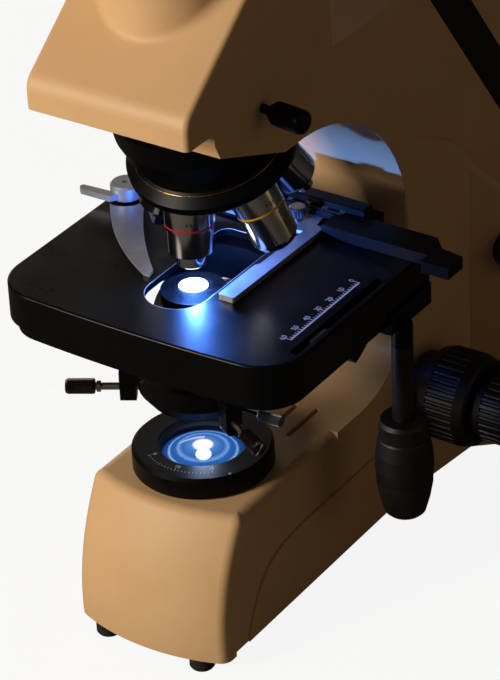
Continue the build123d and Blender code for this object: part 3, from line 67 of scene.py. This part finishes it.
def add(tree, kind, sockets=None, **settings):
    """adds a node; a socket gets a value, or a link when it is given another node's output"""
    made = tree.nodes.new("ShaderNode" + kind)
    for key, value in settings.items():
        setattr(made, key, value)
    for key, value in (sockets or {}).items():
        if isinstance(value, bpy.types.NodeSocket):
            tree.links.new(value, made.inputs[key])
        else:
            made.inputs[key].default_value = value
    return made


def new_finish(name):
    """an empty material"""
    finish = bpy.data.materials.new(name)
    finish.use_nodes = True
    finish.node_tree.nodes.clear()
    return finish


world = bpy.data.worlds.new("studio_surround")
bpy.context.scene.world = world
world.use_nodes = True
tree = world.node_tree
tree.nodes.clear()
path = add(tree, "LightPath")
plain_view = add(tree, "Math", {0: path.outputs["Is Camera Ray"], 1: path.outputs["Is Transmission Ray"]},
                 operation="MAXIMUM")
surround = add(tree, "Background", {"Color": linear("#c9c0b4"), "Strength": 0.07})
white = add(tree, "Background", {"Color": (1, 1, 1, 1), "Strength": 1.0})
seen = add(tree, "MixShader", {0: plain_view.outputs[0], 1: surround.outputs[0], 2: white.outputs[0]})
add(tree, "OutputWorld", {"Surface": seen.outputs[0]})

bpy.ops.mesh.primitive_plane_add(size=6, location=(0, 0, 0))
floor = bpy.context.object
floor.name = "floor"
paper = new_finish("white_paper_floor")
tree = paper.node_tree
path = add(tree, "LightPath")
grain = add(tree, "TexNoise", {"Scale": 300.0})
tint = add(tree, "ValToRGB", {"Fac": grain.outputs["Fac"]})
tint.color_ramp.elements[0].color = linear("#f2f2f0")
tint.color_ramp.elements[1].color = linear("#f7f7f5")
body = add(tree, "BsdfDiffuse", {"Color": tint.outputs["Color"]})
glow = add(tree, "Emission", {"Color": (1, 1, 1, 1), "Strength": 1.0})
mixed = add(tree, "MixShader", {0: 0.9, 1: body.outputs[0], 2: glow.outputs[0]})
# the floor throws little light back up on the object, as grey paper does
dull = add(tree, "BsdfDiffuse", {"Color": linear("#6e6a66")})
shown = add(tree, "Math", {0: path.outputs["Is Camera Ray"], 1: path.outputs["Is Transmission Ray"]},
            operation="MAXIMUM")
seen = add(tree, "MixShader", {0: shown.outputs[0], 1: dull.outputs[0], 2: mixed.outputs[0]})
add(tree, "OutputMaterial", {"Surface": seen.outputs[0]})
floor.data.materials.append(paper)


def lamp(name, place, target, width, power, colour):
    """soft box that points from its place to a target"""
    light = bpy.data.lights.new(name, "AREA")
    light.size = width
    light.energy = power
    light.color = linear(colour)[:3]
    box = bpy.data.objects.new(name, light)
    bpy.context.collection.objects.link(box)
    box.location = place
    box.rotation_euler = (Vector(target) - Vector(place)).to_track_quat("-Z", "Y").to_euler()


lamp("key_softbox", (-0.8, -1.6, 0.8), (0, -0.05, 0.2), 0.6, 33, "#fff3e2")
lamp("right_fill", (1.6, 0.2, 0.5), (0, 0, 0.2), 0.9, 0.8, "#ffd9a0")
lamp("rear_left", (-1.2, 1.0, 0.2), (0, 0.05, 0.2), 0.8, 6, "#fff6ea")


# Enamelled castings: aluminium castings under cream stoving enamel. The enamel is a thick, slightly
# soft-looking skin with a fine orange peel and a satin gloss.
def surface(name, light, dark, patch, rough, grain, depth, metallic=0.0, stretch=(1, 1, 1), specular=0.5,
            knurl=None):
    """a worked surface: two close tones in patches, uneven roughness and a fine grain, sizes in millimetres.
    A knurl is the middle of a screw's head, its axis, where the head starts, its ridges and its colour; that colour
    also carries a painted reflection of the light on the head"""
    finish = new_finish(name)
    tree = finish.node_tree
    place = add(tree, "TexCoord").outputs["Object"]
    drawn = add(tree, "Mapping", {"Vector": place, "Scale": stretch})
    tone = add(tree, "TexNoise", {"Vector": place, "Scale": 1000 / patch, "Detail": 4.0, "Roughness": 0.6})
    colour = add(tree, "ValToRGB", {"Fac": tone.outputs["Fac"]})
    colour.color_ramp.elements[0].position = 0.3
    colour.color_ramp.elements[0].color = linear(dark)
    colour.color_ramp.elements[1].position = 0.7
    colour.color_ramp.elements[1].color = linear(light)
    fine = add(tree, "TexNoise", {"Vector": drawn.outputs[0], "Scale": 1000 / grain, "Detail": 3.0})
    gloss = add(tree, "MapRange", {"Value": tone.outputs["Fac"], "From Min": 0.3, "From Max": 0.7,
                                   "To Min": rough - 0.04, "To Max": rough + 0.05})
    relief = add(tree, "Bump", {"Height": fine.outputs["Fac"], "Strength": 0.5, "Distance": depth / 1000})
    tinted = colour.outputs["Color"]
    if knurl:
        centre, axis, start, ridges, code = knurl
        level = Vector(axis).to_track_quat("Z", "Y").inverted()
        shifted = add(tree, "VectorMath", {0: place, 1: centre}, operation="SUBTRACT")
        turned = add(tree, "Mapping", {"Vector": shifted.outputs[0], "Rotation": tuple(level.to_euler())})
        parts = add(tree, "SeparateXYZ", {0: turned.outputs[0]})
        angle = add(tree, "Math", {0: parts.outputs["Y"], 1: parts.outputs["X"]}, operation="ARCTAN2")
        turns = add(tree, "Math", {0: angle.outputs[0], 1: float(ridges)}, operation="MULTIPLY")
        wave = add(tree, "Math", {0: turns.outputs[0]}, operation="SINE")
        head = add(tree, "Math", {0: parts.outputs["Z"], 1: start}, operation="GREATER_THAN")
        ridge = add(tree, "Math", {0: wave.outputs[0], 1: head.outputs[0]}, operation="MULTIPLY")
        relief = add(tree, "Bump", {"Height": ridge.outputs[0], "Strength": 1.0, "Distance": 0.00025,
                                    "Normal": relief.outputs[0]})
        # the head's colour holds a painted reflection as well as the metal's own tone
        tinted = add(tree, "MixRGB", {0: head.outputs[0], 1: tinted, 2: linear(code)}).outputs[0]
    skin = add(tree, "BsdfPrincipled", {"Base Color": tinted, "Roughness": gloss.outputs[0],
                                        "Metallic": metallic, "Normal": relief.outputs[0]})
    skin.inputs["Specular IOR Level"].default_value = specular
    add(tree, "OutputMaterial", {"Surface": skin.outputs[0]})
    return finish


def dress(finish, *names):
    """gives CAD pieces their finish"""
    for name in names:
        mesh = nodes[name].data
        mesh.materials.clear()
        mesh.materials.append(finish)


enamel = surface("stoved_enamel", "#d9b384", "#d4ac7d", 40, 0.5, 0.9, 0.05, specular=0.3)
dress(enamel, "base_housing", "arm_casting", "head_housing", "prism_housing_left", "prism_housing_right",
      "eyepiece_tube_left", "eyepiece_tube_right")

# Trim band: a gloss black moulding let into the arm, flush with the enamel round it.
band_gloss = surface("gloss_black_abs", "#0c0b0b", "#080707", 25, 0.22, 0.6, 0.01)
dress(band_gloss, "arm_trim_band")

# Black anodised metal: machined aluminium of the nosepiece, the head's tubes, the stage's slides and
# the field ring. The dye is near black and the etched surface is satin.
anodised = surface("black_anodised_aluminium", "#08080a", "#050506", 12, 0.38, 0.25, 0.01, specular=0.12)
dress(anodised, "nosepiece_mount", "nosepiece_turret", "field_lens_mount", "field_iris_ring", "phototube",
      "eyepiece_left", "eyepiece_right", "head_lock_screw", "stage_bracket", "focus_guide",
      "x_guide_block", "drive_bracket", "x_slide_bar", "condenser_carrier", "hinge_pin")

# Matt black lacquer: the condenser's barrel and the lower stage plate are sprayed against stray light.
matt = surface("matt_black_lacquer", "#040405", "#030303", 10, 0.6, 0.3, 0.01, specular=0.06)
dress(matt, "condenser_body", "stage_lower_plate")

# Stage plate: cast aluminium under a smooth, wear-proof black ceramic paint that mirrors the light softly.
stage_skin = surface("black_stage_coating", "#060709", "#040506", 30, 0.3, 0.3, 0.004, specular=0.17)
dress(stage_skin, "stage_top_plate")

# Moulded black plastic: glass-filled ABS knobs and switches with a fine spark-eroded texture.
moulded = surface("moulded_black_abs", "#110e0c", "#0a0908", 8, 0.48, 0.35, 0.03, specular=0.35)
dress(moulded, "coarse_knob_right", "coarse_knob_left", "fine_knob_right", "fine_knob_left", "tension_collar",
      "x_drive_knob", "y_drive_knob", "diopter_ring", "beam_splitter_rod", "condenser_knob", "power_switch",
      "brightness_dial", "inlet_socket")

# Rubber: moulded feet and eyecups, matt and slightly dusty.
rubber = surface("moulded_rubber", "#1a1918", "#100f0f", 6, 0.78, 0.5, 0.04)
dress(rubber, "rubber_feet", "eyecup_left", "eyecup_right")

# Stainless steel: ground plates of the specimen holder, the base plate, the spigot and the focus shafts.
# The grinding runs along X.
ground = surface("ground_stainless_steel", "#b9bcc1", "#a4a8ae", 10, 0.42, 0.5, 0.012, metallic=0.7,
                 stretch=(0.06, 1, 1))
dress(ground, "specimen_arm", "specimen_finger", "base_plate", "head_spigot",
      "coarse_sleeve", "fine_shaft")

# Thumb screws of the specimen holder: small turned heads under bright nickel, which reflects the dark room.
nickel = surface("bright_nickel_plate", "#9a9da3", "#85888e", 6, 0.22, 0.3, 0.004, metallic=1.0)
dress(nickel, "thumb_screws")

# Centring screws and the iris lever: steel pins with straight-knurled heads, some 0.6 mm from ridge to ridge. The
# heads catch the light in fine lines. The centring screws' blackened heads are tinted warm brown, a painted
# reflection of the warm key light; the lever's knurled grip is bare steel tinted blue-grey, a painted reflection of
# the diode's blue-white light.
screw_z = 0.1273
for side, angle in (("left", radians(210)), ("right", radians(-30))):
    outward = (cos(angle), sin(angle), 0)
    # the heads' warm brown is a painted reflection of the key light on blackened steel
    blackened = surface("knurled_steel_painted_warm_sheen_" + side, "#b9b4ae", "#a39e98", 6, 0.28, 0.3, 0.005, metallic=1.0,
                        knurl=((0, axis_y, screw_z), outward, 0.0512, 28, "#4a3f36"))
    dress(blackened, "centring_screw_" + side)
# the grip's pale blue-grey is bare steel with a painted reflection of the diode's light
lever = surface("knurled_lever_painted_blue_glint", "#16151a", "#0e0d10", 6, 0.32, 0.3, 0.005, metallic=0.9,
                knurl=((0, axis_y, 0.1215), (1, 0, 0), 0.035, 24, "#8b93a0"))
dress(lever, "iris_ring")

# Objectives: turned brass under bright satin chromium. The barrels are mirror-like round their turned bands.
chromed = surface("satin_chromium_plate", "#d9d9da", "#cfcfd0", 8, 0.13, 0.3, 0.004, metallic=1.0)
dress(chromed, "objective_4x", "objective_10x", "objective_20x", "objective_40x", "objective_100x")

# Lamp: turned aluminium heat sink that carries a blue-white diode under the field lens.
heat_sink = surface("turned_aluminium", "#b9bbbe", "#a9abae", 8, 0.3, 0.3, 0.01, metallic=1.0)
dress(heat_sink, "led_lamp")

# Condenser's top lens: polished crown glass. Its blue-white disc is a painted glow: an emission on the glass stands
# in for the diode's light shining up through it.
def lit_lens(name, radius, bands, strength):
    """polished glass with a painted glow in rings about the optical axis, standing in for the diode's light through
    it; (share of the radius, colour) each
    """
    finish = new_finish(name)
    tree = finish.node_tree
    place = add(tree, "TexCoord").outputs["Object"]
    centred = add(tree, "Mapping", {"Vector": place, "Location": (0, -axis_y, 0)})
    flat = add(tree, "VectorMath", {0: centred.outputs[0], 1: (1, 1, 0)}, operation="MULTIPLY")
    reach = add(tree, "VectorMath", {0: flat.outputs[0]}, operation="LENGTH")
    # one noise gives the glass its dust and mottles the edges of the painted glow
    dust_and_glow_mottle = add(tree, "TexNoise", {"Vector": place, "Scale": 1400.0, "Detail": 4.0})
    stray = add(tree, "MapRange", {"Value": dust_and_glow_mottle.outputs["Fac"], "From Min": 0.3, "From Max": 0.7,
                                   "To Min": -0.0004, "To Max": 0.0004})
    spread = add(tree, "Math", {0: reach.outputs["Value"], 1: stray.outputs[0]}, operation="ADD")
    share = add(tree, "MapRange", {"Value": spread.outputs[0], "From Max": radius})
    ramp = add(tree, "ValToRGB", {"Fac": share.outputs[0]})
    ramp.color_ramp.elements[0].position = bands[0][0]
    ramp.color_ramp.elements[0].color = linear(bands[0][1])
    ramp.color_ramp.elements[1].position = bands[-1][0]
    ramp.color_ramp.elements[1].color = linear(bands[-1][1])
    for position, code in bands[1:-1]:
        ramp.color_ramp.elements.new(position).color = linear(code)
    haze = add(tree, "MapRange", {"Value": dust_and_glow_mottle.outputs["Fac"], "From Min": 0.4, "From Max": 0.8, "To Min": 0.04,
                                  "To Max": 0.12})
    # the emission is the painted glow; the glass itself is dark
    glass_and_painted_glow = add(tree, "BsdfPrincipled", {"Base Color": linear("#0c1420"), "Roughness": haze.outputs[0], "IOR": 1.52,
                                         "Emission Color": ramp.outputs["Color"], "Emission Strength": strength})
    add(tree, "OutputMaterial", {"Surface": glass_and_painted_glow.outputs[0]})
    return finish


dress(lit_lens("condenser_lens_painted_glow", 0.0075, ((0.0, "#ffffff"), (0.8, "#ffffff"), (1.0, "#9cc8ff")), 5.0),
      "condenser_top_lens")

# Field lens: a moulded collector with rings in it over the blue-white diode. Its white disc and blue rings are a
# painted glow: an emission that stands in for the diode's light seen through the rings.
dress(lit_lens("field_lens_painted_glow", 0.0208, (
    (0.0, "#ffffff"), (0.21, "#ffffff"), (0.27, "#4d82c4"), (0.50, "#2c5fa6"), (0.60, "#6d9ce0"), (0.66, "#2a5ca4"),
    (0.78, "#2257a2"), (0.82, "#8db8f2"), (0.86, "#1c4c93"), (1.0, "#123a78")), 1.0), "field_lens")
ring_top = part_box("field_iris_ring")[1][2]

# The beam leaves the condenser and lights the stage, the objectives' noses and the column behind, and
# the field lens lights what hangs over it.
beam_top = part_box("condenser_top_lens")[1][2] + 0.0115
for name, heading, power in (("beam_back", (0.1, 1, 0.95), 0.44), ("beam_front", (0.35, -0.9, 0.1), 0.15),
                             ("beam_right", (1, 0.1, 0.6), 0.34)):
    beam = bpy.data.lights.new(name, "AREA")
    beam.shape = "DISK"
    beam.size = 0.005
    beam.energy = power
    beam.color = linear("#4d86ff")[:3]
    beam_place = bpy.data.objects.new(name, beam)
    bpy.context.collection.objects.link(beam_place)
    beam_place.location = (0, axis_y, beam_top)
    beam_place.rotation_euler = Vector(heading).to_track_quat("-Z", "Y").to_euler()
glint = bpy.data.lights.new("field_glow", "POINT")
glint.energy = 0.05
glint.shadow_soft_size = 0.006
glint.color = linear("#b8d0ff")[:3]
glint_place = bpy.data.objects.new("field_glow", glint)
bpy.context.collection.objects.link(glint_place)
glint_place.location = (0, axis_y, ring_top + 0.008)

# Printed scales: white epoxy ink, screen printed on the black stage, a few hundredths of a millimetre thick.
ink = surface("white_screen_print_ink", "#b7b6b3", "#a3a29f", 2, 0.6, 0.3, 0.01)


def finished(piece, name, body, finish):
    """puts the piece's place in its mesh, gives it its finish and lets it ride on a CAD body"""
    bpy.ops.object.select_all(action="DESELECT")
    piece.select_set(True)
    bpy.context.view_layer.objects.active = piece
    bpy.ops.object.transform_apply(location=True, rotation=True, scale=True)
    piece.name = name
    piece.data.materials.clear()
    piece.data.materials.append(finish)
    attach(piece, body)


def printed_word(word, height, place, turned=0.0, side="CENTER"):
    """a printed number as a thin mesh, not yet finished"""
    bpy.ops.object.select_all(action="DESELECT")
    bpy.ops.object.text_add(location=place, rotation=(0, 0, turned))
    text = bpy.context.object
    text.data.body = word
    text.data.size = height
    text.data.extrude = 0.00003
    text.data.align_x = side
    text.data.align_y = "CENTER"
    bpy.ops.object.convert(target="MESH")
    return bpy.context.object


def printed_line(low, high, base):
    """a printed stroke between two corners, lying on a surface"""
    bpy.ops.object.select_all(action="DESELECT")
    bpy.ops.mesh.primitive_cube_add(size=1, location=((low[0] + high[0]) / 2, (low[1] + high[1]) / 2, base))
    stroke = bpy.context.object
    stroke.scale = (high[0] - low[0], high[1] - low[1], 0.00006)
    return stroke


def joined(parts):
    """joins meshes into the first one"""
    bpy.ops.object.select_all(action="DESELECT")
    for part in parts:
        part.select_set(True)
    bpy.context.view_layer.objects.active = parts[0]
    bpy.ops.object.join()
    return bpy.context.object


stage_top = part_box("stage_top_plate")[1][2]
scale_x, zero_y, half_tick = 0.0704, axis_y + 0.037, 0.0002
marks = [printed_line((0.0703, axis_y - 0.0232), (0.0713, axis_y + 0.0372), stage_top)]
for step in range(0, 61, 2):
    mark_y = zero_y - step / 1000
    length = 0.0030 if step % 10 == 0 else 0.0014
    marks.append(printed_line((scale_x - length, mark_y - half_tick), (scale_x, mark_y + half_tick), stage_top))
    if step % 10 == 0:
        marks.append(printed_word(str(step), 0.0040, (scale_x - 0.0037, mark_y, stage_top), turned=pi / 2))
finished(joined(marks), "stage_y_scale", "stage_y", ink)

bar_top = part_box("x_slide_bar")[1][2]
tick_end, half_tick = axis_y + 0.0784, 0.00012
marks = []
for step in range(0, 91):
    mark_x = -0.0556 + step / 1000
    length = 0.0014 if step % 10 == 0 else 0.0011 if step % 5 == 0 else 0.0007
    marks.append(printed_line((mark_x - half_tick, tick_end - length), (mark_x + half_tick, tick_end), bar_top))
    if step % 10 == 0:
        marks.append(printed_word(str(step), 0.0032, (mark_x, axis_y + 0.0802, bar_top)))
finished(joined(marks), "stage_x_scale", "stage_x", ink)

# Field ring scale: opening of the field diaphragm in millimetres, printed round the ring's flat top.
tick_reach, number_reach, dot_reach = 0.0291, 0.0256, 0.033
marks = []
for step in range(0, 21):
    angle = radians(-122.8 + step * 3.83)
    length = 0.0018 if step % 10 == 0 else 0.0013 if step % 5 == 0 else 0.0009
    middle = tick_reach - length / 2
    stroke = printed_line((-length / 2, -0.00014), (length / 2, 0.00014), ring_top)
    stroke.rotation_euler = (0, 0, angle)
    stroke.location = (cos(angle) * middle, axis_y + sin(angle) * middle, ring_top)
    marks.append(stroke)
    if step % 10 == 0:
        number_place = (cos(angle) * number_reach, axis_y + sin(angle) * number_reach, ring_top)
        marks.append(printed_word(str(step), 0.0030, number_place, turned=angle + pi / 2))
angle = radians(-32)
bpy.ops.object.select_all(action="DESELECT")
bpy.ops.mesh.primitive_cylinder_add(vertices=32, radius=0.0006, depth=0.00006,
                                    location=(cos(angle) * dot_reach, axis_y + sin(angle) * dot_reach, ring_top))
marks.append(bpy.context.object)
finished(joined(marks), "field_ring_scale", "field_ring", ink)

# Vernier: a small bright plate on the lower stage plate that shows in the slot beside the Y scale.
lug_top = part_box("stage_lower_plate")[1][2]
bpy.ops.object.select_all(action="DESELECT")
bpy.ops.mesh.primitive_cube_add(size=1, location=(0.0778, axis_y - 0.0102, lug_top + 0.0011))
vernier = bpy.context.object
vernier.scale = (0.0030, 0.0134, 0.0022)
bpy.ops.object.transform_apply(location=True, rotation=True, scale=True)
bpy.ops.object.mode_set(mode="EDIT")
bpy.ops.mesh.select_all(action="SELECT")
bpy.ops.mesh.bevel(offset=0.0004, segments=2)
bpy.ops.object.mode_set(mode="OBJECT")
finished(vernier, "y_vernier", "stage", ground)

# Colour rings: enamel wiped into the groove round each objective, in the usual colour of its power.
apex = Vector((0, axis_y, 0.3086))
barrel_radius, ring_reach, mark_reach = 0.0122, 0.0885, 0.0848
swing = radians(19.2)
down = Vector((0, sin(swing), -cos(swing)))
front = Vector((0, -cos(swing), -sin(swing)))
for index, (power, code) in enumerate((("4", "#b3202c"), ("10", "#d9a413"), ("20", "#3c9a4a"), ("40", "#3c7fd0"),
                                       ("100", "#e8e8e8"))):
    share = radians(72 * index)
    axis = down * cos(swing) + (front * cos(share) + Vector((1, 0, 0)) * sin(share)) * sin(swing)
    enamel_ring = surface("ring_enamel_" + power, code, code, 3, 0.3, 0.3, 0.004)
    bpy.ops.object.select_all(action="DESELECT")
    bpy.ops.mesh.primitive_cylinder_add(vertices=96, radius=0.01218, depth=0.00104,
                                        end_fill_type="NOTHING", location=apex + axis * ring_reach,
                                        rotation=axis.to_track_quat("Z", "Y").to_euler())
    band = bpy.context.object
    wall = band.modifiers.new("wall", "SOLIDIFY")
    wall.thickness = 0.0002
    wall.offset = -1
    bpy.ops.object.modifier_apply(modifier="wall")
    bpy.ops.object.shade_smooth_by_angle(angle=radians(40))
    finished(band, "colour_ring_" + power, "turret", enamel_ring)

    # The power is engraved round the barrel and filled with black.
    word = printed_word(power + "\u00d7", 0.0036, (0, 0, 0))
    outward = (Vector((0.55, -0.83, 0)) - axis * Vector((0.55, -0.83, 0)).dot(axis)).normalized()
    if index > 0:
        away = axis - down * axis.dot(down)
        outward = (away - axis * away.dot(axis)).normalized()
    across = outward.cross(axis)
    for vertex in word.data.vertices:
        angle = vertex.co.x / barrel_radius
        radial = outward * cos(angle) - across * sin(angle)
        vertex.co = apex + axis * (mark_reach - vertex.co.y) + radial * (barrel_radius + 0.00003 + vertex.co.z)
    finished(word, "power_mark_" + power, "turret", moulded)

# Turret chamfer: the black dye is turned off the upper edge of the revolving ring, which leaves a bright line. The
# line's warm brown tint is a painted highlight, the warm key light's reflection in the polished chamfer.
bpy.ops.object.select_all(action="DESELECT")
bpy.ops.mesh.primitive_torus_add(major_radius=0.0369, minor_radius=0.0004, major_segments=160, minor_segments=10,
                                 location=apex + down * 0.0573, rotation=down.to_track_quat("Z", "Y").to_euler())
turret_edge_highlight_ring = bpy.context.object
bpy.ops.object.shade_smooth()
# this warm brown is a painted highlight of the key light on the chamfer
bare = surface("turned_edge_painted_warm_highlight", "#a98a63", "#94764f", 6, 0.25, 0.2, 0.004, metallic=1.0)
finished(turret_edge_highlight_ring, "turret_edge_painted_highlight", "turret", bare)

# Slot edge: the milled rim of the stage opening is bare metal and shows as a hair line round the slot. The bright
# line is also a painted highlight: it stands in for the light caught along the rim's chamfer.
slot_half, slot_front, slot_rear, corner_x, corner_round = 0.0164, -0.0125, 0.0449, 0.0104, 0.006
corners = [(slot_half * cos(radians(a)), slot_front + slot_half * sin(radians(a))) for a in range(180, 361, 6)]
corners += [(slot_half, slot_rear)]
for side, angles in ((1, range(15, 91, 15)), (-1, range(90, 181, 15))):
    corners += [(side * corner_x + corner_round * cos(radians(a)), slot_rear + corner_round * sin(radians(a)))
                for a in angles]
bpy.ops.object.select_all(action="DESELECT")
bpy.ops.curve.primitive_bezier_curve_add()
edge = bpy.context.object
edge.data.splines.clear()
line = edge.data.splines.new("POLY")
line.points.add(len(corners) - 1)
for point, (x, y) in zip(line.points, corners):
    point.co = (x, axis_y + y, stage_top - 0.0001, 1)
line.use_cyclic_u = True
edge.data.dimensions = "3D"
edge.data.bevel_depth = 0.00018
edge.data.bevel_resolution = 2
bpy.ops.object.convert(target="MESH")
# the bright steel line is partly a painted highlight along the rim
finished(bpy.context.object, "slot_edge_painted_highlight", "stage_y", ground)
